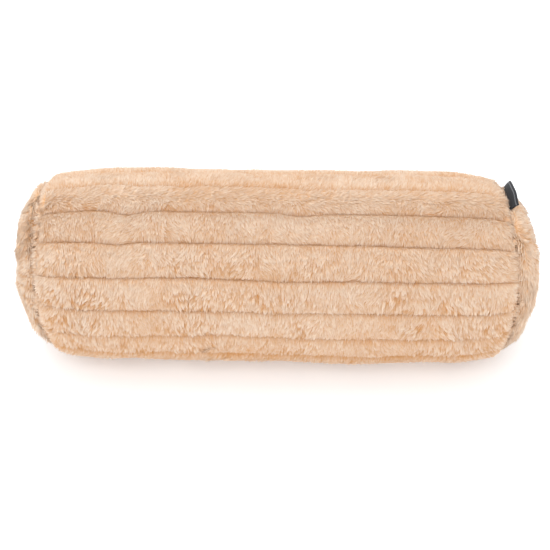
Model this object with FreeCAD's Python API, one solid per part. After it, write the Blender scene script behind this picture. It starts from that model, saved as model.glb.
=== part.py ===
"""A bolster pillow: a ribbed plush cover with a concealed zip over a fibre-filled inner pad.

It lies on its side. +X runs along its length, the front faces -Y and +Z is up. The origin is on the
surface that it rests on, under the middle of the pillow. All sizes are in millimetres.
"""

import FreeCAD
import Part
import math
import os

Vector = FreeCAD.Vector

# The whole pillow
overall_length = 540.0
crest_radius = 100.0  # over the tops of the wales
valley_radius = 93.0  # at the bottom of the grooves between wales
wale_count = 18
axis_height = 94.0  # the pillow's weight flattens the underside to this height

# The cover
seam_x = 236.0  # the ring seams between the body panel and the end discs
seam_radius = 82.0
taper_radius = 100.6  # the rounding starts just above the crests
taper_start_x = 186.0
taper_middle_x = 215.0
taper_middle_radius = 94.0
cover_bore_radius = 88.0
bore_taper_start_x = 203.0
bore_taper_middle_x = 222.0
bore_taper_middle_radius = 83.6
bore_end_x = 237.0  # just past the seam, so that the bore is open at both ends
bore_end_radius = 75.4
end_thickness = 6.0

# The inner pad
pad_radius = 86.5
pad_seam_x = 235.0
pad_seam_radius = 74.6
pad_taper_start_x = 201.0
pad_taper_middle_x = 220.0
pad_taper_middle_radius = 82.3
pad_end_clearance = 0.6
casing_thickness = 0.6

# The concealed zip, which lies in one groove of the back
zip_elevation = 170.0  # degrees above the front horizon, so 10 degrees above the back horizon
zip_half_length = 200.0
tape_half_length = 207.0
tape_inner_edge = 0.7
tape_width = 15.0
tape_thickness = 0.6
tape_height = 88.9  # distance of the tape's inner face from the pillow's axis
pocket_floor = 80.0
pocket_height = 90.0
pocket_half_width = 16.2
channel_half_width = 6.5
channel_end_x = 224.0
channel_end_half_width = 5.0
channel_end_height = 93.0
coil_width = 2.4
coil_height = 2.2
coil_pitch = 2.5
coil_notch_length = 1.0
coil_notch_depth = 1.3
stop_length = 4.0
stop_half_width = 3.2

# The slider and its pull
slider_start_x = -189.0
slider_half_length = 5.5
slider_half_width = 4.6
plate_thickness = 1.2
lower_plate_height = 87.3
upper_plate_height = 92.0
flange_inner = 3.4
flange_height = 89.8
wedge_front = -4.8
wedge_length = 3.0
wedge_half_thickness = 0.35
bail_half_length = 4.2
bail_half_width = 1.2
bail_thickness = 1.0
bail_top = 96.1
pivot_height = 94.1
bar_radius = 0.55
pull_length = 26.0
pull_half_width = 3.4
pull_thickness = 1.2
eye_half_width = 1.7
eye_length = 5.6
grip_hole_radius = 1.5
grip_hole_from_tip = 3.6

# Labels
label_elevation = 100.0
label_arc = 34.0  # degrees of the ring seam
label_thickness = 1.2
label_inner_radius = 79.0
label_outer_radius = 90.0
label_lean = 12.0  # how far the free edge leans out past the seam
care_label_length = 50.0
care_label_arc = 18.0  # degrees, about 27 mm
care_label_inner_radius = 87.1
care_label_outer_radius = 87.5
care_label_start_x = 120.0
care_label_elevation = 148.0

# Stitches
thread_radius = 0.3
ring_stitch_count = 72
ring_stitch_radius = 79.0
ring_stitch_length = 4.0
pad_stitch_count = 60
pad_stitch_length = 3.0
tape_stitch_length = 4.0
tape_stitch_pitch = 6.0
tape_stitch_offset = 10.5
tape_stitch_height = 89.75
seam_stitch_count = 3
seam_stitch_pitch = 5.0
seam_stitch_length = 3.0
seam_stitch_height = 89.5


def radial(elevation):
    """The direction from the axis at an elevation above the front horizon."""
    angle = math.radians(elevation)
    return Vector(0, -math.cos(angle), math.sin(angle))


def lift(shape):
    """Raise a shape built about the pillow's axis to its height above the rest surface."""
    raised = shape.copy()
    raised.translate(Vector(0, 0, axis_height))
    return raised


def at_elevation(shape, elevation):
    """Turn a shape built with its outer side along local +Z so that it faces an elevation."""
    turned = shape.copy()
    turned.rotate(Vector(0, 0, 0), Vector(1, 0, 0), 90.0 - elevation)
    return turned


def block(x_low, x_high, side_low, side_high, height_low, height_high):
    """A box given by its limits: along the pillow, sideways, and outwards from the axis."""
    size = Vector(x_high - x_low, side_high - side_low, height_high - height_low)
    return Part.makeBox(size.x, size.y, size.z, Vector(x_low, side_low, height_low))


def arc(start, middle, end):
    """A circular edge through three points."""
    return Part.Arc(start, middle, end).toShape()


def line(start, end):
    """A straight edge."""
    return Part.LineSegment(start, end).toShape()


def turned_solid(edges):
    """A solid of revolution about the pillow's axis from a closed half outline."""
    return Part.Face(Part.Wire(edges)).revolve(Vector(0, 0, 0), Vector(1, 0, 0), 360)


def barrel(end_x, radius, taper_x, middle_x, middle_radius, end_radius):
    """A cylinder whose two ends round in to a smaller radius."""
    edges = [
        line(Vector(-end_x, 0, 0), Vector(-end_x, 0, end_radius)),
        arc(
            Vector(-end_x, 0, end_radius),
            Vector(-middle_x, 0, middle_radius),
            Vector(-taper_x, 0, radius),
        ),
        line(Vector(-taper_x, 0, radius), Vector(taper_x, 0, radius)),
        arc(
            Vector(taper_x, 0, radius),
            Vector(middle_x, 0, middle_radius),
            Vector(end_x, 0, end_radius),
        ),
        line(Vector(end_x, 0, end_radius), Vector(end_x, 0, 0)),
        line(Vector(end_x, 0, 0), Vector(-end_x, 0, 0)),
    ]
    return turned_solid(edges)


def dome(base_x, base_radius, apex_x):
    """A cap that bulges along +X from a flat round base."""
    bulge = apex_x - base_x
    sphere_radius = (base_radius**2 + bulge**2) / (2 * bulge)
    middle_radius = base_radius * 0.55
    fall = sphere_radius - math.sqrt(sphere_radius**2 - middle_radius**2)
    edges = [
        line(Vector(base_x, 0, 0), Vector(base_x, 0, base_radius)),
        arc(
            Vector(base_x, 0, base_radius),
            Vector(apex_x - fall, 0, middle_radius),
            Vector(apex_x, 0, 0),
        ),
        line(Vector(apex_x, 0, 0), Vector(base_x, 0, 0)),
    ]
    return turned_solid(edges)


def mirrored(shape):
    """The same shape at the other end of the pillow."""
    return shape.mirror(Vector(0, 0, 0), Vector(1, 0, 0))


def ribbed_bar():
    """A straight bar whose section is a ring of round wales, one groove facing straight down."""
    pitch = 360.0 / wale_count
    edges = []
    for index in range(wale_count):
        elevation = -90.0 + index * pitch
        start = radial(elevation) * valley_radius
        middle = radial(elevation + pitch / 2) * crest_radius
        end = radial(elevation + pitch) * valley_radius
        edges.append(arc(start, middle, end))
    section = Part.Face(Part.Wire(edges))
    section.translate(Vector(-seam_x, 0, 0))
    return section.extrude(Vector(2 * seam_x, 0, 0))


def zip_room():
    """The room that the zip takes in the body panel: a pocket for the tapes and an open channel."""
    pocket = block(
        -tape_half_length - 1, tape_half_length + 1,
        -pocket_half_width, pocket_half_width,
        pocket_floor, pocket_height,
    )
    channel = block(
        -tape_half_length, tape_half_length,
        -channel_half_width, channel_half_width,
        pocket_floor, crest_radius + 1,
    )
    ends = block(
        -channel_end_x, channel_end_x,
        -channel_end_half_width, channel_end_half_width,
        channel_end_height, crest_radius + 1,
    )
    return at_elevation(pocket.fuse(channel).fuse(ends), zip_elevation)


def cover_body_panel():
    """The ribbed tube of plush fabric, with its pile, flattened where it rests."""
    outside = barrel(
        seam_x, taper_radius, taper_start_x, taper_middle_x, taper_middle_radius, seam_radius
    )
    bore = barrel(
        bore_end_x, cover_bore_radius, bore_taper_start_x, bore_taper_middle_x,
        bore_taper_middle_radius, bore_end_radius,
    )
    panel = lift(ribbed_bar().common(outside).cut(bore).cut(zip_room()))
    below = Part.makeBox(
        overall_length, 4 * crest_radius, crest_radius,
        Vector(-overall_length / 2, -2 * crest_radius, -crest_radius),
    )
    return panel.cut(below)


def cover_end():
    """A domed disc of the same fabric at the +X end."""
    outside = dome(seam_x, seam_radius, overall_length / 2)
    inside = dome(seam_x, seam_radius - end_thickness, overall_length / 2 - end_thickness)
    return outside.cut(inside)


def pad_outside(inset):
    """The inner pad's tube and its +X dome, drawn in from the pad's surface by an inset."""
    tube = barrel(
        pad_seam_x, pad_radius - inset, pad_taper_start_x, pad_taper_middle_x,
        pad_taper_middle_radius - inset, pad_seam_radius - inset,
    )
    apex_x = overall_length / 2 - end_thickness - pad_end_clearance - inset
    cap = dome(pad_seam_x, pad_seam_radius - inset, apex_x)
    return tube, cap


def inner_pad():
    """The casing's tube, its +X and -X ends, and the filling that they hold."""
    outer_tube, outer_cap = pad_outside(0)
    filling_tube, filling_cap = pad_outside(casing_thickness)
    casing_tube = outer_tube.cut(filling_tube)
    casing_end = outer_cap.cut(filling_cap)
    filling = filling_tube.fuse([filling_cap, mirrored(filling_cap)]).removeSplitter()
    return casing_tube, casing_end, mirrored(casing_end), filling


def thread(start, end):
    """One stitch: a short straight piece of thread."""
    return Part.makeCylinder(thread_radius, (end - start).Length, start, end - start)


def ring_stitches(count, radius, x, length):
    """Stitches along the pillow that cross a ring seam, evenly spaced about it."""
    stitches = []
    for index in range(count):
        centre = radial((index + 0.5) * 360.0 / count) * radius
        half = Vector(length / 2, 0, 0)
        place = Vector(x, 0, 0) + centre
        stitches.append(thread(place - half, place + half))
    return Part.makeCompound(stitches)


def lengthwise_seam_stitches():
    """Stitches that close the body panel between each end of the zip and the ring seams."""
    stitches = []
    half = Vector(0, seam_stitch_length / 2, 0)
    for side in (-1, 1):
        for index in range(seam_stitch_count):
            x = side * (tape_half_length + 5.0 + index * seam_stitch_pitch)
            place = Vector(x, 0, seam_stitch_height)
            stitches.append(thread(place - half, place + half))
    return at_elevation(Part.makeCompound(stitches), zip_elevation)


def zip_tape(side):
    """One woven tape, above the zip's middle line for side -1 and below it for side +1."""
    edges = sorted((side * tape_inner_edge, side * (tape_inner_edge + tape_width)))
    tape = block(
        -tape_half_length, tape_half_length, edges[0], edges[1],
        tape_height, tape_height + tape_thickness,
    )
    return at_elevation(tape, zip_elevation)


def zip_coil(side):
    """One nylon coil on its tape, toothed on its inner edge."""
    low = tape_height + tape_thickness
    edges = sorted((side * tape_inner_edge, side * (tape_inner_edge + coil_width)))
    coil_half_length = zip_half_length - stop_length
    coil = block(-coil_half_length, coil_half_length, edges[0], edges[1], low, low + coil_height)
    notch_edges = sorted((side * tape_inner_edge, side * (tape_inner_edge + coil_notch_depth)))
    notches = []
    notch_count = int(2 * coil_half_length / coil_pitch)
    for index in range(notch_count):
        x = -coil_half_length + (index + 0.5) * coil_pitch + side * coil_pitch / 4
        notches.append(
            block(x, x + coil_notch_length, notch_edges[0], notch_edges[1], low, low + coil_height)
        )
    return at_elevation(coil.cut(Part.makeCompound(notches)), zip_elevation)


def zip_stop(side):
    """The stop at one end of the coils, at -X for side -1."""
    low = tape_height + tape_thickness
    ends = sorted((side * (zip_half_length - stop_length), side * zip_half_length))
    stop = block(ends[0], ends[1], -stop_half_width, stop_half_width, low, low + coil_height)
    return at_elevation(stop, zip_elevation)


def tape_stitches(side):
    """A row of stitches that holds one tape to the body panel."""
    count = int(2 * tape_half_length / tape_stitch_pitch)
    stitches = []
    half = Vector(tape_stitch_length / 2, 0, 0)
    for index in range(count):
        x = (index - (count - 1) / 2) * tape_stitch_pitch
        place = Vector(x, side * tape_stitch_offset, tape_stitch_height)
        stitches.append(thread(place - half, place + half))
    return at_elevation(Part.makeCompound(stitches), zip_elevation)


def zip_slider():
    """The slider: two plates joined by a wedge, with side flanges and a loop for the pull."""
    x = slider_start_x
    lower = block(
        x - slider_half_length, x + slider_half_length, -slider_half_width, slider_half_width,
        lower_plate_height, lower_plate_height + plate_thickness,
    )
    upper = block(
        x - slider_half_length, x + slider_half_length, -slider_half_width, slider_half_width,
        upper_plate_height, upper_plate_height + plate_thickness,
    )
    wedge = block(
        x + wedge_front, x + wedge_front + wedge_length,
        -wedge_half_thickness, wedge_half_thickness, lower_plate_height, upper_plate_height,
    )
    body = lower.fuse([upper, wedge])
    for side in (-1, 1):
        edges = sorted((side * flange_inner, side * slider_half_width))
        flange = block(
            x - slider_half_length, x + slider_half_length, edges[0], edges[1],
            flange_height, upper_plate_height,
        )
        body = body.fuse(flange)
    upper_face = upper_plate_height + plate_thickness
    bail = block(
        x - bail_half_length, x + bail_half_length, -bail_half_width, bail_half_width,
        upper_face, bail_top,
    )
    bail_room = block(
        x - bail_half_length + bail_thickness, x + bail_half_length - bail_thickness,
        -bail_half_width - 1, bail_half_width + 1, upper_face, bail_top - bail_thickness,
    )
    body = body.fuse(bail.cut(bail_room)).removeSplitter()
    return at_elevation(body, zip_elevation)


def zip_pull_tab():
    """The pull: a flat plate whose eye holds a round bar under the slider's loop."""
    x = slider_start_x
    low = pivot_height - pull_thickness / 2
    high = pivot_height + pull_thickness / 2
    plate = block(x, x + pull_length, -pull_half_width, pull_half_width, low, high)
    eye = block(x - 1, x + eye_length, -eye_half_width, eye_half_width, low - 1, high + 1)
    grip_hole = Part.makeCylinder(
        grip_hole_radius, pull_thickness + 2,
        Vector(x + pull_length - grip_hole_from_tip, 0, low - 1), Vector(0, 0, 1),
    )
    knuckle = Part.makeCylinder(
        pull_thickness / 2, 2 * pull_half_width, Vector(x, -pull_half_width, pivot_height),
        Vector(0, 1, 0),
    )
    knuckle_room = block(
        x - pull_thickness, x + pull_thickness, -eye_half_width, eye_half_width, low - 1, high + 1
    )
    bar = Part.makeCylinder(
        bar_radius, 2 * pull_half_width, Vector(x, -pull_half_width, pivot_height), Vector(0, 1, 0)
    )
    body = plate.cut(eye).cut(grip_hole)
    body = body.fuse([knuckle.cut(knuckle_room), bar]).removeSplitter()
    return at_elevation(body, zip_elevation)


def curved_strip(corners, degrees, elevation):
    """A strip that follows the pillow's curve, from its section's corners, centred at an elevation."""
    section = Part.Face(Part.makePolygon(corners + corners[:1]))
    strip = section.revolve(Vector(0, 0, 0), Vector(1, 0, 0), degrees)
    return at_elevation(strip, elevation + degrees / 2)


def side_label():
    """A folded woven label caught in the +X ring seam, its free edge leaning outwards."""
    corners = [
        Vector(seam_x, 0, label_inner_radius),
        Vector(seam_x + label_thickness, 0, label_inner_radius),
        Vector(seam_x + label_thickness + label_lean, 0, label_outer_radius),
        Vector(seam_x + label_lean, 0, label_outer_radius),
    ]
    return curved_strip(corners, label_arc, label_elevation)


def care_label():
    """A thin blank label sewn inside the cover, between the cover and the inner pad."""
    end_x = care_label_start_x + care_label_length
    corners = [
        Vector(care_label_start_x, 0, care_label_inner_radius),
        Vector(end_x, 0, care_label_inner_radius),
        Vector(end_x, 0, care_label_outer_radius),
        Vector(care_label_start_x, 0, care_label_outer_radius),
    ]
    return curved_strip(corners, care_label_arc, care_label_elevation)


def write(name, shape):
    """Save one sub-part and print what it is."""
    assert shape.isValid(), name
    shape.exportStep(f"parts/{name}.step")
    box = shape.optimalBoundingBox()
    print(
        f"{name:28s} solids {len(shape.Solids):3d}  volume {shape.Volume / 1000:9.2f} cm3  "
        f"x {box.XMin:7.1f} {box.XMax:7.1f}  y {box.YMin:7.1f} {box.YMax:7.1f}  "
        f"z {box.ZMin:6.1f} {box.ZMax:6.1f}"
    )


def main():
    os.makedirs("parts", exist_ok=True)
    end = cover_end()
    casing_tube, casing_end_right, casing_end_left, filling = inner_pad()
    cover_ring = ring_stitches(ring_stitch_count, ring_stitch_radius, seam_x, ring_stitch_length)
    pad_ring = ring_stitches(
        pad_stitch_count, pad_seam_radius - casing_thickness / 2, pad_seam_x, pad_stitch_length
    )
    write("cover_body_panel", cover_body_panel())
    write("cover_end_right", lift(end))
    write("cover_end_left", lift(mirrored(end)))
    write("end_seam_stitches_right", lift(cover_ring))
    write("end_seam_stitches_left", lift(mirrored(cover_ring)))
    write("lengthwise_seam_stitches", lift(lengthwise_seam_stitches()))
    for name, side in (("upper", -1), ("lower", 1)):
        write(f"zip_tape_{name}", lift(zip_tape(side)))
        write(f"zip_coil_{name}", lift(zip_coil(side)))
        write(f"zip_stitches_{name}", lift(tape_stitches(side)))
    write("zip_top_stop", lift(zip_stop(-1)))
    write("zip_bottom_stop", lift(zip_stop(1)))
    write("zip_slider", lift(zip_slider()))
    write("zip_pull_tab", lift(zip_pull_tab()))
    write("side_label", lift(side_label()))
    write("care_label", lift(care_label()))
    write("inner_casing_tube", lift(casing_tube))
    write("inner_casing_end_right", lift(casing_end_right))
    write("inner_casing_end_left", lift(casing_end_left))
    write("inner_seam_stitches_right", lift(pad_ring))
    write("inner_seam_stitches_left", lift(mirrored(pad_ring)))
    write("filling_core", lift(filling))


main()
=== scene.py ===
"""The looks of a ribbed plush bolster pillow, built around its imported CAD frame.

The cover's fabric is a cloth simulation of a closed form. Its pile is real geometry: each wale and
each end disc is one closed mesh whose outer side is a fine net of curved, leaning tufts.
"""

import bpy
import math
import numpy as np
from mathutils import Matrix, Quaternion, Vector


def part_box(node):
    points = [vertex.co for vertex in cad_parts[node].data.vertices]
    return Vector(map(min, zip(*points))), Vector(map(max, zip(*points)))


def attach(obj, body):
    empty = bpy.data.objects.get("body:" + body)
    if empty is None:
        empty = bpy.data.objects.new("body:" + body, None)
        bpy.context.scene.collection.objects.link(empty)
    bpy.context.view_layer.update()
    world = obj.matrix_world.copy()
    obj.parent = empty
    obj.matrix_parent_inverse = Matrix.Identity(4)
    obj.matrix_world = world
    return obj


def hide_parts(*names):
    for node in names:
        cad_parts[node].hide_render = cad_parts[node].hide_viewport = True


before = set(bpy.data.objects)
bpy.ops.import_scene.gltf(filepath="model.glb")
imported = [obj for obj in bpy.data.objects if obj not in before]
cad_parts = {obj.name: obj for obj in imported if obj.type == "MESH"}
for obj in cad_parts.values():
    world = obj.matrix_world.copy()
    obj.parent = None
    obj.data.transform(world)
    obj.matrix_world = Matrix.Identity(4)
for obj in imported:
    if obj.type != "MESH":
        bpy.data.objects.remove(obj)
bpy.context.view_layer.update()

# Sizes from the frame, in metres
PANEL_LOW, PANEL_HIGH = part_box("cover_body_panel")
END_LOW, END_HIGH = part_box("cover_end_right")
SEAM_X = PANEL_HIGH.x
APEX_X = END_HIGH.x
AXIS_Z = (END_LOW.z + END_HIGH.z) / 2
CREST_RADIUS = (PANEL_HIGH.y - PANEL_LOW.y) / 2
SEAM_RADIUS = (END_HIGH.z - END_LOW.z) / 2

# The ribbed cover
WALE_COUNT = 18
WALE_PITCH = 2 * math.pi / WALE_COUNT
WALE_WIDTH = WALE_PITCH * CREST_RADIUS
ZIP_GROOVE = 5  # the groove that holds the zip, counted from the one that faces straight down
ROOT_RADIUS = CREST_RADIUS - 0.0096  # the padded form that the wales stand on
SEAM_ROOT_RADIUS = SEAM_RADIUS - 0.0012
END_ROOT_X = APEX_X - 0.0130
TAPER_START_X = SEAM_X - 0.0860  # the pillow narrows from here to its ring seams
GROOVE_LEVEL = 0.0011  # the groove's floor, from the form
RIB_HEIGHT = 0.0033
SHOULDER_WIDTH = 0.0085  # the rounded edge of a wale
CREST_RISE = 0.0012
SEAM_LEVEL = 0.0014  # where the wales and the end discs meet, from the form
BACKING_RADIUS = 0.0884
BACKING_STEP = 4  # grid cells to one face of a piece's plain back
TUFT_SPACING = 0.00112
TUFT_LENGTH = 0.0064
END_TUFT_SPACING = 0.00132

FORM_ROWS = 61  # rings of the simulated form along the pillow
FORM_COLUMNS = 90
FORM_END_RINGS = 11
FORM_SHIFT_LIMIT = 0.006  # the furthest that the simulation may move a point
CLOTH_FRAMES = 20
FLOOR_GAP = 0.0002


# -------- noise and vectors

def unit(vectors):
    """Vectors scaled to a length of 1."""
    return vectors / np.maximum(np.linalg.norm(vectors, axis=-1, keepdims=True), 1e-12)


def smooth_noise(points, cell, seed):
    """Smooth random values from -1 to 1 at an array of points, changing over a cell's size."""
    table = np.random.default_rng(seed).uniform(-1, 1, 4096)
    place = points / cell
    corner = np.floor(place).astype(np.int64)
    part = place - corner
    part = part * part * (3 - 2 * part)
    total = np.zeros(len(points))
    for offset in np.ndindex(2, 2, 2):
        shifted = corner + offset
        key = shifted[:, 0] * 73856093 ^ shifted[:, 1] * 19349663 ^ shifted[:, 2] * 83492791
        weight = np.prod(np.where(np.array(offset) == 1, part, 1 - part), axis=1)
        total += weight * table[key & 4095]
    return total


def step(value, low, high):
    """0 below low, 1 above high and smooth between."""
    t = np.clip((value - low) / (high - low), 0, 1)
    return t * t * (3 - 2 * t)


# -------- the simulated form

def form_profile(x):
    """The padded form's radius along the body, before it is simulated."""
    taper = np.clip((np.abs(x) - TAPER_START_X) / (SEAM_X - TAPER_START_X), 0, 1) ** 2.2
    return ROOT_RADIUS + (SEAM_ROOT_RADIUS - ROOT_RADIUS) * taper


def ring(x, radius, angles):
    """Points of a circle about the pillow's axis. Angle 0 faces straight down, and grows to the back."""
    return np.stack(
        [np.full_like(angles, x), radius * np.sin(angles), AXIS_Z - radius * np.cos(angles)], axis=1
    )


def form_rings():
    """The rings of the closed form, from the apex at -X to the apex at +X."""
    angles = np.arange(FORM_COLUMNS) * 2 * math.pi / FORM_COLUMNS
    bulge = END_ROOT_X - SEAM_X
    sphere = (SEAM_ROOT_RADIUS**2 + bulge**2) / (2 * bulge)
    shares = np.arange(1, FORM_END_RINGS) / FORM_END_RINGS
    radii = SEAM_ROOT_RADIUS * shares
    heights = SEAM_X + bulge - (sphere - np.sqrt(sphere**2 - radii**2))
    left = [ring(-h, r, angles) for h, r in zip(heights, radii)]
    right = [ring(h, r, angles) for h, r in zip(heights[::-1], radii[::-1])]
    stations = np.linspace(-SEAM_X, SEAM_X, FORM_ROWS)
    body = [ring(x, form_profile(x), angles) for x in stations]
    return np.array(left + body + right)


def lumpy(rings):
    """The form with the slight lumps of its fibre filling and its ring seams a little out of true."""
    points = rings.reshape(-1, 3)
    out = unit(points * [0, 1, 1] - [0, 0, AXIS_Z])
    lumps = 0.0016 * smooth_noise(points, 0.075, 11) + 0.0007 * smooth_noise(points, 0.03, 12)
    radius = np.hypot(points[:, 1], points[:, 2] - AXIS_Z)
    around = np.arctan2(points[:, 1], AXIS_Z - points[:, 2])
    saddle = -0.0045 * np.cos(2 * (around - math.radians(165)))
    near_seam = step(np.abs(points[:, 0]), SEAM_X - 0.070, SEAM_X) * step(radius, 0, SEAM_ROOT_RADIUS)
    right = saddle - 0.0030
    left = 0.0085 * np.maximum(0, np.cos(around - math.radians(325))) ** 3 - 0.0028
    drift = np.where(points[:, 0] > 0, right, left) + 0.0010 * smooth_noise(points, 0.05, 13)
    moved = points + out * lumps[:, None]
    moved[:, 0] += drift * near_seam
    return moved.reshape(rings.shape)


def closed_points(rings):
    """All points of the closed form: its rings, then its two apexes."""
    return np.concatenate(
        [rings.reshape(-1, 3), [[-END_ROOT_X, 0, AXIS_Z], [END_ROOT_X, 0, AXIS_Z]]]
    )


def closed_faces(count):
    """The closed form's faces, facing outwards: four-sided between its rings and a fan at each end."""
    index = np.arange(count * FORM_COLUMNS).reshape(count, FORM_COLUMNS)
    after = np.roll(index, -1, axis=1)
    between = np.stack([index[:-1], after[:-1], after[1:], index[1:]], axis=-1).reshape(-1, 4)
    apex = np.full(FORM_COLUMNS, count * FORM_COLUMNS)
    first = np.stack([after[0], index[0], apex], axis=1)
    last = np.stack([index[-1], after[-1], apex + 1], axis=1)
    return between, np.concatenate([first, last])


def simulate_form(rings):
    """Inflate the form as cloth, with its two ring seams drawn tight, and return its rings."""
    pull = np.random.default_rng(5)
    points = closed_points(rings)
    between, fans = closed_faces(len(rings))
    mesh = bpy.data.meshes.new("form")
    mesh.from_pydata(points.tolist(), [], between.tolist() + fans.tolist())
    form = bpy.data.objects.new("form", mesh)
    bpy.context.scene.collection.objects.link(form)
    group = form.vertex_groups.new(name="seams")
    for row in (FORM_END_RINGS - 1, FORM_END_RINGS - 2 + FORM_ROWS):
        for column in range(FORM_COLUMNS):
            group.add([row * FORM_COLUMNS + column], pull.uniform(0.35, 1.0), "REPLACE")
    cloth = form.modifiers.new("cloth", "CLOTH")
    settings = cloth.settings
    settings.quality = 6
    settings.mass = 0.3
    settings.tension_stiffness = 20
    settings.compression_stiffness = 12
    settings.shear_stiffness = 6
    settings.bending_stiffness = 1.0
    settings.use_pressure = True
    settings.uniform_pressure_force = 4
    settings.vertex_group_shrink = "seams"
    settings.shrink_min = 0.0
    settings.shrink_max = 0.05
    settings.effector_weights.gravity = 0
    cloth.collision_settings.use_collision = False
    scene = bpy.context.scene
    for number in range(1, CLOTH_FRAMES + 1):
        scene.frame_set(number)
    shown = form.evaluated_get(bpy.context.evaluated_depsgraph_get())
    moved = np.zeros(len(points) * 3, np.float32)
    shown.data.vertices.foreach_get("co", moved)
    scene.frame_set(1)
    bpy.data.objects.remove(form)
    bpy.data.meshes.remove(mesh)
    shift = moved.reshape(-1, 3).astype(float) - points
    far = np.linalg.norm(shift, axis=1, keepdims=True)
    shift *= np.minimum(1, FORM_SHIFT_LIMIT / np.maximum(far, 1e-9))
    return (points + shift)[:-2].reshape(rings.shape)


# -------- reading the form between its points

def cubic_weights(part):
    """The weights of four neighbouring values for a smooth curve through them."""
    return np.stack([
        ((-0.5 * part + 1.0) * part - 0.5) * part,
        (1.5 * part - 2.5) * part * part + 1.0,
        ((-1.5 * part + 2.0) * part + 0.5) * part,
        (0.5 * part - 0.5) * part * part,
    ])


def read_form(rings, row, column):
    """Points of the form at fractional rows and columns. Columns wrap round."""
    low_row, low_column = np.floor(row).astype(int), np.floor(column).astype(int)
    row_weights = cubic_weights(row - low_row)
    column_weights = cubic_weights(column - low_column)
    total = np.zeros((len(row), 3))
    for i in range(4):
        rows = np.clip(low_row + i - 1, 0, len(rings) - 1)
        for j in range(4):
            columns = (low_column + j - 1) % FORM_COLUMNS
            total += (row_weights[i] * column_weights[j])[:, None] * rings[rows, columns]
    return total


def body_point(rings, x, angle):
    """A point of the form's body at a place along the pillow and an angle about it."""
    row = (x + SEAM_X) / (2 * SEAM_X) * (FORM_ROWS - 1) + FORM_END_RINGS - 1
    return read_form(rings, row, angle / (2 * math.pi) * FORM_COLUMNS)


def end_point(rings, side, share, angle):
    """A point of an end disc: share 0 at its middle and 1 at the ring seam."""
    share = np.maximum(share, 1e-6)
    inner = np.array([[side * END_ROOT_X, 0, AXIS_Z]] * FORM_COLUMNS)
    if side > 0:
        stack = np.concatenate([inner[None], rings[::-1][:FORM_END_RINGS]])
    else:
        stack = np.concatenate([inner[None], rings[:FORM_END_RINGS]])
    return read_form(stack, share * FORM_END_RINGS, angle / (2 * math.pi) * FORM_COLUMNS)


# -------- pile

# How a tuft bends: it leaves the skin half upright and its tip lies along the nap.
LOWER_SHARE = 0.40
LOWER_LEAN = math.radians(38)
UPPER_LEAN = math.radians(76)
WAIST = 0.80  # a tuft's width where it bends, as a share of its foot
CLUMP_SPACING = 0.0027
END_CLUMP_SPACING = 0.0048
CLUMP_PULL = 0.20
RUFFLED_PULL = 0.48  # added where the pile is ruffled
CLUMP_LIFT = 0.0013  # how far clumps differ in height
SHORT_PILE = 0.004  # pile shorter than this gathers less


def clump_shift(flat, spacing, seed):
    """How far each place is from the clump it belongs to, in the flat plane of the skin."""
    cell = np.floor(flat / spacing).astype(np.int64)
    best = np.full(len(flat), np.inf)
    shift = np.zeros_like(flat)
    tone = np.zeros(len(flat))
    table = np.random.default_rng(seed).uniform(0, 1, (4096, 3))
    for offset in np.ndindex(3, 3):
        near = cell + offset - 1
        key = (near[:, 0] * 73856093 ^ near[:, 1] * 19349663) & 4095
        centre = (near + table[key, :2]) * spacing
        away = centre - flat
        far = np.linalg.norm(away, axis=1)
        closer = far < best
        best[closer] = far[closer]
        shift[closer] = away[closer]
        tone[closer] = table[key, 2][closer]
    return shift, tone


def cell_mean(grid):
    """The mean of each cell's four corners."""
    return (grid[:-1, :-1] + grid[1:, :-1] + grid[1:, 1:] + grid[:-1, 1:]) / 4


def grid_normals(points):
    """Outward normals of a grid whose rows run along the pillow and whose columns run with the nap."""
    along = np.gradient(points, axis=0)
    across = np.gradient(points, axis=1)
    return unit(np.cross(across, along))


def settle(points):
    """Press what lies below the resting surface flat on it, keeping its order."""
    soft = 0.005
    low = np.minimum(points[..., 2], soft)
    pressed = FLOOR_GAP + (soft - FLOOR_GAP) * np.exp((low - soft) / soft)
    points[..., 2] = np.where(points[..., 2] < soft, pressed, points[..., 2])
    return points


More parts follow.
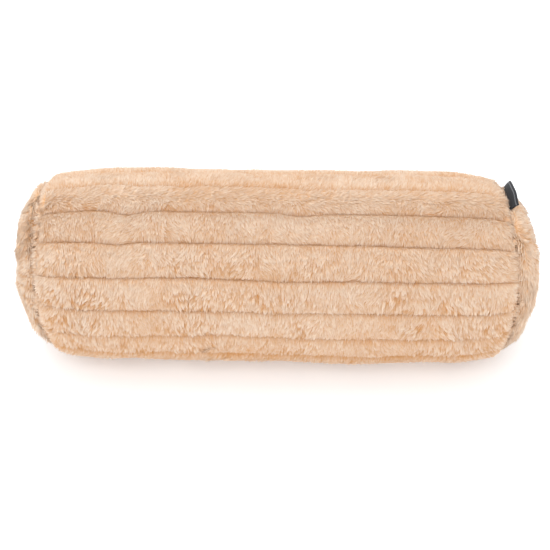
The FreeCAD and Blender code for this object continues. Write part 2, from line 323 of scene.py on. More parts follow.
def pile_mesh(name, skin, nap, fields, flat, back, clump_spacing, seed):
    """One closed mesh: tufts on the grid skin, rims round it and a plain, coarser back.

    skin, nap, flat and back are given on the grid's corners: where the skin is, the way the pile
    lies, each corner's place along the skin, and the piece's back. fields has three more numbers
    for each corner: the pile's length, its tone from 0, dark, to 1, pale, and its ruffle, 0 to 1.
    """
    rng = np.random.default_rng(seed)
    rows, columns = skin.shape[0] - 1, skin.shape[1] - 1
    tufts = rows * columns
    normals = grid_normals(skin)
    foot = cell_mean(skin).reshape(-1, 3)
    out = unit(cell_mean(normals)).reshape(-1, 3)
    tall, base_tone, ruffle = np.moveaxis(cell_mean(fields).reshape(-1, 3), 1, 0)
    tall = (tall * rng.uniform(0.76, 1.24, tufts))[:, None]
    shift, clump_tone = clump_shift(cell_mean(flat).reshape(-1, 2), clump_spacing, seed)
    lie = cell_mean(nap).reshape(-1, 3)
    lie = unit(lie - out * (lie * out).sum(1, keepdims=True))
    row_way = unit(np.cross(out, lie))
    lie = unit(lie + row_way * rng.normal(0, 0.10, (tufts, 1)))
    along = unit(cell_mean(np.gradient(skin, axis=0)).reshape(-1, 3))
    across = unit(cell_mean(np.gradient(skin, axis=1)).reshape(-1, 3))
    pull = (CLUMP_PULL + RUFFLED_PULL * ruffle)[:, None] * np.minimum(1, tall / SHORT_PILE)
    gather = (along * shift[:, :1] + across * shift[:, 1:]) * pull
    lift = (CLUMP_LIFT * (clump_tone - 0.5) * (0.4 + 1.2 * ruffle))[:, None]
    lift = lift * np.minimum(1, tall / SHORT_PILE)
    upper_lean = (UPPER_LEAN - math.radians(20) * ruffle)[:, None]

    bend = foot + LOWER_SHARE * tall * (out * math.cos(LOWER_LEAN) + lie * math.sin(LOWER_LEAN))
    bend = bend + gather * 0.4 + out * lift
    tip = bend + (1 - LOWER_SHARE) * tall * (out * np.cos(upper_lean) + lie * np.sin(upper_lean))
    tip = tip + gather * 0.6

    corner_index = np.arange((rows + 1) * (columns + 1)).reshape(rows + 1, columns + 1)
    corners = np.stack(
        [corner_index[:-1, :-1], corner_index[:-1, 1:], corner_index[1:, 1:], corner_index[1:, :-1]],
        axis=-1,
    ).reshape(-1, 4)
    flat_skin = skin.reshape(-1, 3)
    spokes = (flat_skin[corners] - foot[:, None]) * WAIST
    waist = bend[:, None] + spokes

    first_waist = len(flat_skin)
    first_tip = first_waist + 4 * tufts
    waist_index = first_waist + np.arange(4 * tufts).reshape(-1, 4)
    tip_index = first_tip + np.arange(tufts)
    after = [1, 2, 3, 0]
    lower = np.stack([corners, corners[:, after], waist_index[:, after], waist_index], axis=-1)
    upper = np.stack(
        [waist_index, waist_index[:, after], np.repeat(tip_index[:, None], 4, 1)], axis=-1
    )
    lower, upper = lower.reshape(-1, 4), upper.reshape(-1, 3)

    # The back is a coarser grid, and each of its outer edges meets several of the skin's.
    coarse = back[::BACKING_STEP, ::BACKING_STEP]
    back_index = first_tip + tufts + np.arange(coarse.shape[0] * coarse.shape[1])
    back_index = back_index.reshape(coarse.shape[:2])
    plain = np.stack(
        [back_index[:-1, :-1], back_index[1:, :-1], back_index[1:, 1:], back_index[:-1, 1:]], axis=-1
    ).reshape(-1, 4)
    skin_loop = np.concatenate(
        [corner_index[0, :-1], corner_index[:-1, -1], corner_index[-1, :0:-1], corner_index[:0:-1, 0]]
    )
    back_loop = np.concatenate(
        [back_index[0, :-1], back_index[:-1, -1], back_index[-1, :0:-1], back_index[:0:-1, 0]]
    )
    start = np.arange(len(back_loop)) * BACKING_STEP
    skin_run = skin_loop[(start[:, None] + np.arange(BACKING_STEP + 1)) % len(skin_loop)]
    rim = np.concatenate(
        [skin_run[:, ::-1], back_loop[:, None], np.roll(back_loop, -1)[:, None]], axis=1
    )
    points = np.concatenate([flat_skin, waist.reshape(-1, 3), tip, coarse.reshape(-1, 3)])

    # Colour place of every corner of every face: across for tone, up for root to tip.
    tone = base_tone + (0.24 + 0.72 * ruffle) * (clump_tone - 0.5) + rng.normal(0, 0.10, tufts)
    tone = np.clip(tone, 0.04, 0.96)
    spread = np.array([-0.03, -0.01, 0.03, 0.01])
    foot_place = np.stack([tone[:, None] + spread, np.full((tufts, 4), 0.03)], axis=-1)
    waist_place = np.stack([tone[:, None] + spread, np.full((tufts, 4), 0.50)], axis=-1)
    tip_place = np.repeat(np.stack([tone, np.full(tufts, 0.98)], axis=-1)[:, None], 4, 1)
    places = [
        np.stack([foot_place, foot_place[:, after], waist_place[:, after], waist_place], axis=2),
        np.stack([waist_place, waist_place[:, after], tip_place], axis=2),
        plain_places(plain),
        plain_places(rim),
    ]

    # Shading follows the skin and each tuft's own sides, so that the pile looks soft from all round.
    waist_normals = unit(out[:, None] * 0.55 + unit(spokes) * 0.80)
    tip_normals = unit(out + lie * 0.5 + rng.normal(0, 0.10, out.shape))
    back_normals = np.zeros((coarse.shape[0] * coarse.shape[1], 3))  # none: its own shape shades it
    shading = np.concatenate(
        [normals.reshape(-1, 3), waist_normals.reshape(-1, 3), tip_normals, back_normals]
    )
    return mesh_object(name, settle(points), [lower, upper, plain, rim], places, shading)


def plain_places(faces):
    """A small patch of the darkest root colour for each of a set of faces."""
    turn = np.arange(faces.shape[1]) * 2 * math.pi / faces.shape[1]
    patch = np.stack([0.07 + 0.02 * np.cos(turn), 0.035 + 0.02 * np.sin(turn)], axis=1)
    return np.repeat(patch[None], len(faces), 0)


def mesh_object(name, points, faces, places, shading):
    """An object from arrays: sets of faces, the colour place of their corners, and point normals.

    Where the places are None, the mesh needs none. Where the normals are None, its shape shades it.
    """
    mesh = bpy.data.meshes.new(name)
    corners = np.concatenate([part.ravel() for part in faces])
    sizes = np.concatenate([np.full(len(part), part.shape[1]) for part in faces])
    mesh.vertices.add(len(points))
    mesh.vertices.foreach_set("co", points.astype(np.float32).ravel())
    mesh.loops.add(len(corners))
    mesh.loops.foreach_set("vertex_index", corners.astype(np.int32))
    mesh.polygons.add(len(sizes))
    mesh.polygons.foreach_set("loop_start", (np.cumsum(sizes) - sizes).astype(np.int32))
    mesh.update(calc_edges=True)
    if places is not None:
        spots = np.concatenate([part.reshape(-1, 2) for part in places])
        layer = mesh.uv_layers.new(name="OFBake")
        layer.data.foreach_set("uv", np.clip(spots, 0.005, 0.995).astype(np.float32).ravel())
    mesh.polygons.foreach_set("use_smooth", np.ones(len(sizes), bool))
    if shading is not None:
        mesh.normals_split_custom_set_from_vertices(shading.tolist())
    piece = bpy.data.objects.new(name, mesh)
    bpy.context.scene.collection.objects.link(piece)
    return piece


# -------- the ribbed body

WALE_END_X = SEAM_X - 0.0055  # the wales stop here, short of the ring seam
WALE_END_WIDTH = 0.0080
ZIP_HALF_GAP = 0.0068
ZIP_GAP_X = 0.196  # the channel over the zip starts to close here
ZIP_GAP_END_X = 0.206
TAPE_END_X = 0.208  # the skin is held up over the zip's tapes to here
TAPE_FADE_X = 0.216
OVER_TAPE_RADIUS = 0.0914
OVER_TAPE_BACK_RADIUS = 0.0902
PAST_PULL_X = 0.2135  # just past the pull's tip when the zip is fully open
UNDER_PULL_RADIUS = 0.0914  # the skin lies this low where the pull passes over it
TWIST = 0.036  # radians that the ribs turn along the pillow

# Places where a groove leaves its line: groove, place along the pillow, how far it dips, and width
GROOVE_DIPS = (
    (10, -0.146, 0.0055, 0.016),
    (10, 0.022, 0.0036, 0.017),
    (9, 0.031, 0.0042, 0.007),
    (9, -0.160, -0.0030, 0.007),
    (9, -0.139, 0.0030, 0.006),
    (9, -0.118, -0.0026, 0.007),
    (9, -0.095, 0.0022, 0.009),
    (8, -0.112, 0.0040, 0.008),
    (8, -0.085, 0.0034, 0.007),
    (8, -0.175, 0.0030, 0.010),
    (11, -0.152, 0.0026, 0.014),
    (14, -0.046, -0.0022, 0.020),
    (15, 0.090, 0.0020, 0.030),
)


def groove_angle(index, x):
    """The angle of a groove's line about the pillow at each place along it."""
    turn, index = index * WALE_PITCH, index % WALE_COUNT
    if index == ZIP_GROOVE:
        return np.full_like(x, turn)  # the zip runs straight
    drift = smooth_noise(np.stack([x, np.full_like(x, index * 0.37), 0 * x], 1), 0.085, 21)
    waver = smooth_noise(np.stack([x, np.full_like(x, index * 0.61), 0 * x], 1), 0.022, 22)
    away = 0.0012 * drift + 0.0004 * waver
    for groove, place, dip, width in GROOVE_DIPS:
        if groove == index:
            away = away + dip * np.exp(-(((x - place) / width) ** 2))
    inside = 1 - step(np.abs(x), WALE_END_X - 0.01, SEAM_X)
    sag = 0.0036 * math.exp(-(((index - 12.7) / 1.6) ** 2))  # the front wales settle downwards
    return turn + TWIST * x / (2 * SEAM_X) + (sag + away * inside) / CREST_RADIUS


def zip_gap(x):
    """Half the width of the open channel over the zip."""
    return ZIP_HALF_GAP * (1 - step(np.abs(x), ZIP_GAP_X, ZIP_GAP_END_X))


def rounded(distance, width):
    """A quarter-round edge: 0 at the edge itself and 1 from its width inwards."""
    return np.sqrt(1 - (1 - np.clip(distance / width, 0, 1)) ** 2)


def end_noise(x, angle, cell, seed):
    """Noise that changes round each ring seam and differs between the two ends."""
    return smooth_noise(outward(angle) * SEAM_RADIUS + np.sign(x)[:, None], cell, seed)


def wale_height(share, x, angle):
    """How far the skin stands off the form: full round wales that end short of the ring seam."""
    to_groove = np.minimum(share, 1 - share) * WALE_WIDTH
    rib = RIB_HEIGHT * rounded(to_groove, SHOULDER_WIDTH)
    dome = CREST_RISE * (1 - (1 - 2 * to_groove / WALE_WIDTH) ** 2)
    wale_end_x = WALE_END_X + 0.0030 * end_noise(x, angle, 0.021, 51)
    wale_end = rounded(wale_end_x - np.abs(x), WALE_END_WIDTH)
    lip_x = SEAM_X - 0.0026 + 0.0016 * end_noise(x, angle, 0.014, 52)
    lip = 0.0010 + 0.0016 * end_noise(x, angle, 0.010, 53)
    lip = lip * np.exp(-(((np.abs(x) - lip_x) / 0.0026) ** 2))
    height = GROOVE_LEVEL + (rib + dome) * wale_end + lip
    return height + (SEAM_LEVEL - height) * step(np.abs(x), SEAM_X - 0.0036, SEAM_X)


def even_shares(count):
    """Shares across a wale that are evenly spaced along its curved surface."""
    share = np.linspace(0, 1, 401)
    height = wale_height(share, np.zeros(401), np.zeros(401))
    length = np.hypot(np.diff(share) * WALE_WIDTH, np.diff(height))
    total = np.concatenate([[0], np.cumsum(length)])
    return np.interp(np.linspace(0, total[-1], count + 1), total, share), total[-1]


def tangent(angle):
    """The direction in which the angle about the pillow grows."""
    return np.stack([0 * angle, np.cos(angle), np.sin(angle)], axis=-1)


def outward(angle):
    """The direction straight out from the pillow's axis."""
    return np.stack([0 * angle, np.sin(angle), -np.cos(angle)], axis=-1)


def loosened(values, rng, amount):
    """The inner points of a grid of values moved at random by up to an amount."""
    moved = values.copy()
    moved[1:-1, 1:-1] += rng.uniform(-amount, amount, values[1:-1, 1:-1].shape)
    return moved


def height_by_zip(height, form, x, from_zip):
    """Heights held up over the zip's tapes and pressed down under its pull, and how much of each."""
    form_radius = np.hypot(form[:, 1], form[:, 2] - AXIS_Z)
    over_tape = 1 - step(np.abs(x), TAPE_END_X, TAPE_FADE_X)
    over_tape = over_tape * (1 - step(np.abs(from_zip), 0.20, 0.26))
    height = np.maximum(height, (OVER_TAPE_RADIUS / np.cos(from_zip) - form_radius) * over_tape)
    under_pull = step(x, ZIP_GAP_X - 0.004, ZIP_GAP_X) * (1 - step(x, PAST_PULL_X, PAST_PULL_X + 0.003))
    under_pull = under_pull * (1 - step(np.abs(from_zip) * CREST_RADIUS, 0.0052, 0.0078))
    pressed = np.minimum(height, UNDER_PULL_RADIUS / np.cos(from_zip) - form_radius)
    return height + under_pull * (pressed - height), over_tape, under_pull


def wale_pile(index, form, x, angle, part, under_pull):
    """The way a wale's pile lies, and its length, tone and ruffle, at each corner of its skin."""
    to_start = part * WALE_WIDTH
    to_end = (1 - part) * WALE_WIDTH
    to_groove = np.minimum(to_start, to_end)
    to_seam = SEAM_X - np.abs(x)
    side = np.sign(x)
    band = step(np.abs(x), WALE_END_X - 0.008, WALE_END_X + 0.001)
    lap = 1 - step(angle, math.radians(174), math.radians(202))  # 1 on the back, 0 on the front
    fall = part * (1 - lap) + (1 - part) * lap  # from a wale's upper edge to its lower edge
    swirl = smooth_noise(form, 0.034, 31) + 0.8 * smooth_noise(form, 0.013, 32)
    parting = smooth_noise(form, 0.026, 33) + 0.6 * smooth_noise(form, 0.010, 34)
    wild = 0.35 + 0.65 * step(fall, 0.05, 0.6)
    ruffle = step(smooth_noise(form, 0.030, 38) + 0.7 * smooth_noise(form, 0.011, 39), -0.80, 0.70)
    ruffle = ruffle * (0.25 + 0.75 * step(fall, 0.12, 0.40)) * step(to_groove, 0.001, 0.005)
    steep = step(np.abs(angle - math.radians(195)), math.radians(15), math.radians(75))
    ruffle = ruffle * (0.15 + 0.90 * steep)  # the top is smoother than the sides
    ruffle = ruffle * (1 - 0.45 * lap * steep)  # the back's patches are softer than the front's
    ruffle = ruffle * (1 + 0.3 * step(-x, -0.05, 0.20))
    ruffle = np.maximum(ruffle * (1 - band), 0.15 * band)
    combed = (0.85 + 0.75 * parting * wild) * (1 - 0.7 * band)
    down = combed * np.cos(math.pi * lap)
    sideways = 0.85 * swirl * wild + side * band + 0.4 * side * step(-to_seam, -0.03, -0.012)
    sideways = sideways + combed * np.sin(math.pi * lap)
    if index == ZIP_GROOVE or index + 1 == ZIP_GROOVE:
        to_zip = to_start if index == ZIP_GROOVE else to_end
        beside = (1 - step(to_zip, 0.002, 0.010)) * (zip_gap(x) > 0.001)
        away = 0.25 if index == ZIP_GROOVE else -0.25
        down = down * (1 - beside) + away * beside
        sideways = sideways * (1 - beside) + beside
    nap = down[:, None] * tangent(angle) + sideways[:, None] * [1, 0, 0]
    length = TUFT_LENGTH * (0.95 + 0.15 * smooth_noise(form, 0.020, 35))
    length = length * (0.48 + 0.52 * step(to_groove, 0, 0.0050) * (1 - band) + 0.50 * band)
    length = length * (1 - 0.6 * under_pull)
    tone = 0.74 + 0.10 * smooth_noise(form, 0.045, 36) + 0.12 * smooth_noise(form, 0.009, 37)
    # painted shade: the pile is darkened close to each groove, where shade falls in the crease
    tone = tone - 0.50 * np.exp(-to_groove / 0.0016) * (1 - band) - 0.08 * ruffle
    # painted shade: each wale is darker towards its lower edge, which turns away from the light above
    tone = tone - 0.10 * step(fall, 0.2, 1.0) + 0.08 * band
    # painted shade: darker close to the ring seam, in the crease between the wales and the end disc
    tone = tone - 0.10 * np.exp(-to_seam / 0.0016)
    low = step(angle, math.radians(262), math.radians(312))  # wales in the shade of the one above
    tone = tone - low * (0.13 + 0.34 * np.exp(-fall * WALE_WIDTH / 0.006))
    return nap, np.stack([length, tone, ruffle], axis=1)


def wale(rings, index):
    """One wale of the ribbed body, with its pile combed round the pillow."""
    rng = np.random.default_rng(100 + index)
    rows = BACKING_STEP * round(2 * SEAM_X / TUFT_SPACING / BACKING_STEP)
    width = even_shares(8)[1]
    columns = BACKING_STEP * round(width / TUFT_SPACING / BACKING_STEP)
    x, place = np.meshgrid(
        np.linspace(-SEAM_X, SEAM_X, rows + 1), np.linspace(0, columns, columns + 1), indexing="ij"
    )
    x = loosened(x, rng, 0.3 * TUFT_SPACING).ravel()
    place = loosened(place, rng, 0.3).ravel()
    part = np.interp(place, np.arange(columns + 1), even_shares(columns)[0])
    start = groove_angle(index, x)
    end = groove_angle(index + 1, x)
    if index == ZIP_GROOVE:
        start = start + zip_gap(x) / CREST_RADIUS
    if index + 1 == ZIP_GROOVE:
        end = end - zip_gap(x) / CREST_RADIUS
    angle = start + part * (end - start)
    form = body_point(rings, x, angle)
    from_zip = angle - groove_angle(ZIP_GROOVE, x)
    height, over_tape, under_pull = height_by_zip(wale_height(part, x, angle), form, x, from_zip)
    skin = form + outward(angle) * height[:, None]
    nap, fields = wale_pile(index, form, x, angle, part, under_pull)
    flat = np.stack([x, place * TUFT_SPACING + index * width], axis=1)

    back_radius = np.where(over_tape > 0.2, OVER_TAPE_BACK_RADIUS / np.cos(from_zip), BACKING_RADIUS)
    skin_radius = np.hypot(skin[:, 1], skin[:, 2] - AXIS_Z)
    back_radius = np.minimum(back_radius, skin_radius - 0.0010)
    back = outward(angle) * back_radius[:, None]
    back = back + np.stack([form[:, 0], 0 * x, 0 * x + AXIS_Z], axis=1)
    shape = (rows + 1, columns + 1, -1)
    return pile_mesh(
        f"cover_wale_{index + 1:02d}", skin.reshape(shape), nap.reshape(shape),
        fields.reshape(shape), flat.reshape(shape), back.reshape(shape), CLUMP_SPACING,
        200 + index,
    )


# -------- the end discs

def square_to_disc(first, second):
    """An even map from a square of side 2 to a round disc of radius 1: share of the radius and angle."""
    wide = np.abs(first) >= np.abs(second)
    radius = np.where(wide, first, second)
    safe = np.where(np.abs(radius) < 1e-9, 1e-9, radius)
    angle = np.where(
        wide, math.pi / 4 * second / safe, math.pi / 2 - math.pi / 4 * first / safe
    )
    return radius * np.cos(angle), radius * np.sin(angle)


def end_disc(rings, side):
    """One plain domed end of the cover, its pile combed downwards."""
    rng = np.random.default_rng(300 + side)
    count = math.sqrt(math.pi) * SEAM_RADIUS * 1.04 / END_TUFT_SPACING
    count = BACKING_STEP * round(count / BACKING_STEP)
    line = np.linspace(-1, 1, count + 1)
    up, across = np.meshgrid(line, line, indexing="ij")
    up, across = loosened(up, rng, 0.6 / count), loosened(across, rng, 0.6 / count)
    disc_up, disc_across = square_to_disc(up.ravel(), across.ravel())
    disc_across = disc_across * side
    share = np.minimum(np.hypot(disc_up, disc_across), 1.0)
    angle = np.arctan2(disc_across, -disc_up)
    form = end_point(rings, side, share, angle % (2 * math.pi))
    to_rim = (1 - share) * SEAM_RADIUS
    facing = np.array([side, 0, 0]) * (1.2 - share)[:, None] + outward(angle) * share[:, None] * 0.8
    facing = unit(facing)
    lumps = 0.0018 * smooth_noise(form, 0.011, 45) * step(to_rim, 0, 0.004)
    rise = SEAM_LEVEL + 0.0018 * rounded(to_rim, 0.0060) + lumps
    skin = form + facing * rise[:, None]

    swirl = smooth_noise(form, 0.034, 41) + 0.8 * smooth_noise(form, 0.013, 42)
    parting = smooth_noise(form, 0.026, 43)
    rim = step(share, 0.86, 0.98)
    nap = np.array([0, 0, -1.0]) * (0.8 + 0.7 * parting)[:, None]
    nap = nap + np.array([0, 1.0, 0]) * (0.8 * swirl)[:, None]
    nap = nap * (1 - 0.6 * rim)[:, None] + outward(angle) * (0.8 * rim)[:, None]
    ruffle = step(smooth_noise(form, 0.030, 48) + 0.7 * smooth_noise(form, 0.011, 49), -0.45, 0.60)
    length = 1.3 * TUFT_LENGTH * (0.95 + 0.15 * smooth_noise(form, 0.020, 44))
    length = length * (0.60 + 0.40 * step(to_rim, 0, 0.006))
    tone = 0.74 + 0.10 * smooth_noise(form, 0.045, 46) + 0.12 * smooth_noise(form, 0.009, 47)
    # painted shade: darker close to the rim, in the crease of the ring seam
    tone = tone - 0.10 * np.exp(-to_rim / 0.0016) - 0.08 * ruffle
    fields = np.stack([length, tone, ruffle], axis=1)
    flat = np.stack([disc_up, disc_across], axis=1) * SEAM_RADIUS
    back = form - np.array([side, 0, 0]) * 0.0012 - outward(angle) * 0.0022 * share[:, None]
    name = "cover_end_right_plush" if side > 0 else "cover_end_left_plush"
    shape = (count + 1, count + 1, -1)
    return pile_mesh(
        name, skin.reshape(shape), nap.reshape(shape), fields.reshape(shape),
        flat.reshape(shape), back.reshape(shape), END_CLUMP_SPACING, 400 + side,
    )


# -------- the inner pad and the ring seams

PAD_LENGTH_SHARE = 0.985  # the pad's size inside the cover's form
PAD_RADIUS_SHARE = 0.940
PAD_RADIUS = 0.0862  # the most, so that it stays under the zip
CASING_CLOTH = 0.0005
SEAM_STITCHES = 72
PAD_STITCHES = 60
STITCH_SHARE = 0.68  # of each stitch's pitch
THREAD_RADIUS = 0.00030
THREAD_SIDES = 6
THREAD_STATIONS = 5


def pad_points(rings, smaller, lumps):
    """The form drawn in to the pad's size, less a depth, with hollows up to a depth."""
    points = closed_points(rings) - [0, 0, AXIS_Z]
    radius = np.hypot(points[:, 1], points[:, 2])
    hollow = lumps * (0.5 + 0.5 * smooth_noise(points, 0.024, 61))
    drawn = np.minimum(radius * PAD_RADIUS_SHARE, PAD_RADIUS) - smaller - hollow
    share = np.maximum(drawn, 0) / np.maximum(radius, 1e-9)
    length = PAD_LENGTH_SHARE - (smaller + hollow) / END_ROOT_X
    return np.stack([points[:, 0] * length, points[:, 1] * share, points[:, 2] * share + AXIS_Z], axis=1)


def pad_casing(rings):
    """The pad's own casing: one closed skin with its inner face a cloth's thickness inside."""
    outer = pad_points(rings, 0, 0)
    inner = pad_points(rings, CASING_CLOTH, 0)
    between, fans = closed_faces(len(rings))
    turned = [part[:, ::-1] + len(outer) for part in (between, fans)]
    return mesh_object(
        "inner_pad_casing", np.concatenate([outer, inner]), [between, fans, *turned], None, None
    )


def filling(rings):
    """The fibre filling, lumpy just under its casing."""
    points = pad_points(rings, CASING_CLOTH + 0.0002, 0.0016)
    return mesh_object("filling_fibre", points, closed_faces(len(rings)), None, None)


def ring_stitches(name, rings, side, count, inset, shares):
    """Lock stitches round a ring seam, each one a short thread that dips at its two ends.

    inset is how far they lie inside the form, and shares scale it along and about the axis.
    """
    spread = np.linspace(-0.5, 0.5, THREAD_STATIONS)
    angle = (np.arange(count)[:, None] + spread * STITCH_SHARE) * 2 * math.pi / count
    thick = THREAD_RADIUS * np.sqrt(1 - 3.2 * spread**2)
    dip = 4 * THREAD_RADIUS * spread**2
    seam = body_point(rings, np.full(angle.size, side * SEAM_X), angle.ravel() % (2 * math.pi))
    centre = (seam - [0, 0, AXIS_Z]) * [shares[0], shares[1], shares[1]] + [0, 0, AXIS_Z]
    out = outward(angle)
    centre = centre.reshape(count, THREAD_STATIONS, 3) - out * (inset + dip)[:, None]
    turn = np.arange(THREAD_SIDES) * 2 * math.pi / THREAD_SIDES
    across = out[:, :, None] * np.cos(turn)[:, None] + np.array([1.0, 0, 0]) * np.sin(turn)[:, None]
    points = centre[:, :, None] + across * thick[:, None, None]
    index = np.arange(count * THREAD_STATIONS * THREAD_SIDES).reshape(count, THREAD_STATIONS, THREAD_SIDES)
    after = np.roll(index, -1, axis=2)
    sides = np.stack([index[:, :-1], after[:, :-1], after[:, 1:], index[:, 1:]], axis=-1).reshape(-1, 4)
    return mesh_object(
        name, points.reshape(-1, 3), [sides, index[:, 0, ::-1], index[:, -1]], None, None
    )


# -------- the side label

LABEL_ANGLE = math.radians(170)
LABEL_ARC = math.radians(38)
LABEL_REACH = 0.0150  # how far the folded label stands out of the ring seam's stitches
LABEL_ROOT = 0.0030  # how deep its two ends are caught in the seam
LABEL_LEAN = math.radians(24)
LABEL_CLOTH = 0.00045
LABEL_HALF_FOLD = 0.00034
LABEL_SIDE_STEPS = 14
LABEL_FOLD_STEPS = 7
LABEL_STATIONS = 45


def label_path():
    """The middle line of the folded cloth: distance from the seam, distance aside, and share."""
    reach = np.linspace(-LABEL_ROOT, LABEL_REACH, LABEL_SIDE_STEPS)
    turn = np.linspace(0, math.pi, LABEL_FOLD_STEPS)[1:-1]
    up = np.concatenate([reach, LABEL_REACH + LABEL_HALF_FOLD * np.sin(turn), reach[::-1]])
    aside = np.concatenate([
        np.full(LABEL_SIDE_STEPS, LABEL_HALF_FOLD), LABEL_HALF_FOLD * np.cos(turn),
        np.full(LABEL_SIDE_STEPS, -LABEL_HALF_FOLD),
    ])
    run = np.concatenate([[0], np.cumsum(np.hypot(np.diff(up), np.diff(aside)))])
    return up, aside, run / run[-1]


def side_label(rings):
    """A woven label folded in two and caught in the +X ring seam, its fold leaning outwards."""
    up, aside, share = label_path()
    along = unit(np.stack([np.gradient(up), np.gradient(aside)], axis=1))
    offset = np.stack([-along[:, 1], along[:, 0]], axis=1) * LABEL_CLOTH / 2
    line = np.stack([up, aside], axis=1)
    outline = np.concatenate([line + offset, (line - offset)[::-1]])
    around = LABEL_ANGLE + np.linspace(-0.5, 0.5, LABEL_STATIONS) * LABEL_ARC
    base = body_point(rings, np.full(LABEL_STATIONS, SEAM_X), around)
    place = np.linspace(-1, 1, LABEL_STATIONS)
    lean = LABEL_LEAN + 0.07 * np.sin(2.4 * place + 0.6) + 0.10 * place**2
    lean = lean[:, None] + 0.16 * (outline[None, :, 0] / LABEL_REACH) ** 2
    out = outward(around)[:, None]
    points = base[:, None] + out * (
        np.cos(lean) * outline[:, 0] - np.sin(lean) * outline[:, 1])[..., None]
    points = points + np.array([1.0, 0, 0]) * (
        np.sin(lean) * outline[:, 0] + np.cos(lean) * outline[:, 1])[..., None]

    ring_size = len(outline)
    half = len(line)
    index = np.arange(LABEL_STATIONS * ring_size).reshape(LABEL_STATIONS, ring_size)
    after = np.roll(index, -1, axis=1)
    sides = np.stack([index[:-1], index[1:], after[1:], after[:-1]], axis=-1).reshape(-1, 4)
    near, far = np.arange(half - 1), ring_size - 1 - np.arange(half - 1)
    first_cap = np.stack([near, near + 1, far - 1, far], axis=1)
    last_cap = first_cap[:, ::-1] + (LABEL_STATIONS - 1) * ring_size
    height = np.concatenate([share * 0.46, 0.52 + share * 0.46])
    u, v = np.meshgrid(np.linspace(0.02, 0.98, LABEL_STATIONS), height, indexing="ij")
    spots = np.stack([u, v], axis=-1).reshape(-1, 2)
    places = spots[sides].reshape(LABEL_STATIONS - 1, ring_size, 4, 2)
    places[:, -1, :, 1] = np.array([0.985, 0.985, 0.995, 0.995])
    caps = [plain_places(first_cap), plain_places(last_cap)]
    return mesh_object(
        "side_label_cloth", points.reshape(-1, 3), [sides, first_cap, last_cap],
        [places.reshape(-1, 4, 2), *caps], None,
    )


# -------- materials

def new_material(name):
    """A material with its node tree and its Principled shader."""
    material = bpy.data.materials.new(name)
    material.use_nodes = True
    tree = material.node_tree
    return material, tree, tree.nodes["Principled BSDF"]


def ramp(tree, factor, stops):
    """A colour ramp fed by a socket. stops are (place, colour)."""
    node = tree.nodes.new("ShaderNodeValToRGB")
    while len(node.color_ramp.elements) < len(stops):
        node.color_ramp.elements.new(0.5)
    for element, (place, colour) in zip(node.color_ramp.elements, stops):
        element.position = place
        element.color = (*colour, 1)
    tree.links.new(factor, node.inputs["Fac"])
    return node.outputs["Color"]


def plush_material():
    """Pile that is deep orange-brown at its roots and pale apricot at its tips."""
    material, tree, shader = new_material("plush")
    places = tree.nodes.new("ShaderNodeUVMap")
    places.uv_map = "OFBake"
    split = tree.nodes.new("ShaderNodeSeparateXYZ")
    tree.links.new(places.outputs["UV"], split.inputs["Vector"])
    dark = ramp(tree, split.outputs["Y"], (
        (0.0, (0.74, 0.33, 0.10)), (0.5, (0.64, 0.30, 0.10)), (1.0, (0.60, 0.31, 0.12)),
    ))
    pale = ramp(tree, split.outputs["Y"], (
        (0.0, (0.80, 0.45, 0.20)), (0.5, (0.81, 0.61, 0.44)), (1.0, (0.85, 0.74, 0.65)),
    ))
    mix = tree.nodes.new("ShaderNodeMix")
    mix.data_type = "RGBA"
    tree.links.new(split.outputs["X"], mix.inputs["Factor"])
    tree.links.new(dark, mix.inputs["A"])
    tree.links.new(pale, mix.inputs["B"])
    tree.links.new(mix.outputs["Result"], shader.inputs["Base Color"])
    shader.inputs["Roughness"].default_value = 0.85
    shader.inputs["Specular IOR Level"].default_value = 0.08
    shader.inputs["Sheen Weight"].default_value = 0.05
    shader.inputs["Sheen Roughness"].default_value = 0.5
    shader.inputs["Sheen Tint"].default_value = (1.0, 0.78, 0.56, 1)
    # A faint glow stands in for the light that real pile passes from fibre to fibre
    shader.inputs["Emission Color"].default_value = (1.0, 0.50, 0.22, 1)
    shader.inputs["Emission Strength"].default_value = 0.05
    return material


def texture(tree, kind, scale, **settings):
    """A texture node on the piece's own coordinates, and its number from 0 to 1."""
    source = tree.nodes.new("ShaderNodeTexCoord")
    node = tree.nodes.new(kind)
    node.inputs["Scale"].default_value = scale
    for name, value in settings.items():
        if name == "bands_direction":
            setattr(node, name, value)
        else:
            node.inputs[name.title()].default_value = value
    tree.links.new(source.outputs["Object"], node.inputs["Vector"])
    return node.outputs["Fac"]


def combine(tree, first, second, operation="MULTIPLY"):
    """Two numbers combined."""
    node = tree.nodes.new("ShaderNodeMath")
    node.operation = operation
    tree.links.new(first, node.inputs[0])
    tree.links.new(second, node.inputs[1])
    return node.outputs["Value"]


def raise_bump(tree, shader, height, distance, strength):
    """Relief on a shader from a number from 0 to 1. distance is its depth in metres."""
    node = tree.nodes.new("ShaderNodeBump")
    node.inputs["Distance"].default_value = distance
    node.inputs["Strength"].default_value = strength
    tree.links.new(height, node.inputs["Height"])
    tree.links.new(node.outputs["Normal"], shader.inputs["Normal"])


def wave_scale(period):
    """The wave texture's scale for a period in metres."""
    return 2 * math.pi / (20 * period)


def woven(name, dark, pale, period, roughness):
    """A plain weave of a period in metres."""
    material, tree, shader = new_material(name)
    warp = texture(tree, "ShaderNodeTexWave", wave_scale(period), bands_direction="X")
    weft = texture(tree, "ShaderNodeTexWave", wave_scale(period), bands_direction="Z")
    weave = combine(tree, warp, weft)
    cloudy = texture(tree, "ShaderNodeTexNoise", 90, detail=3.0)
    tree.links.new(
        ramp(tree, combine(tree, weave, cloudy, "ADD"), ((0.25, dark), (1.0, pale))),
        shader.inputs["Base Color"],
    )
    raise_bump(tree, shader, weave, 0.00008, 0.7)
    shader.inputs["Roughness"].default_value = roughness
    shader.inputs["Sheen Weight"].default_value = 0.1
    return material


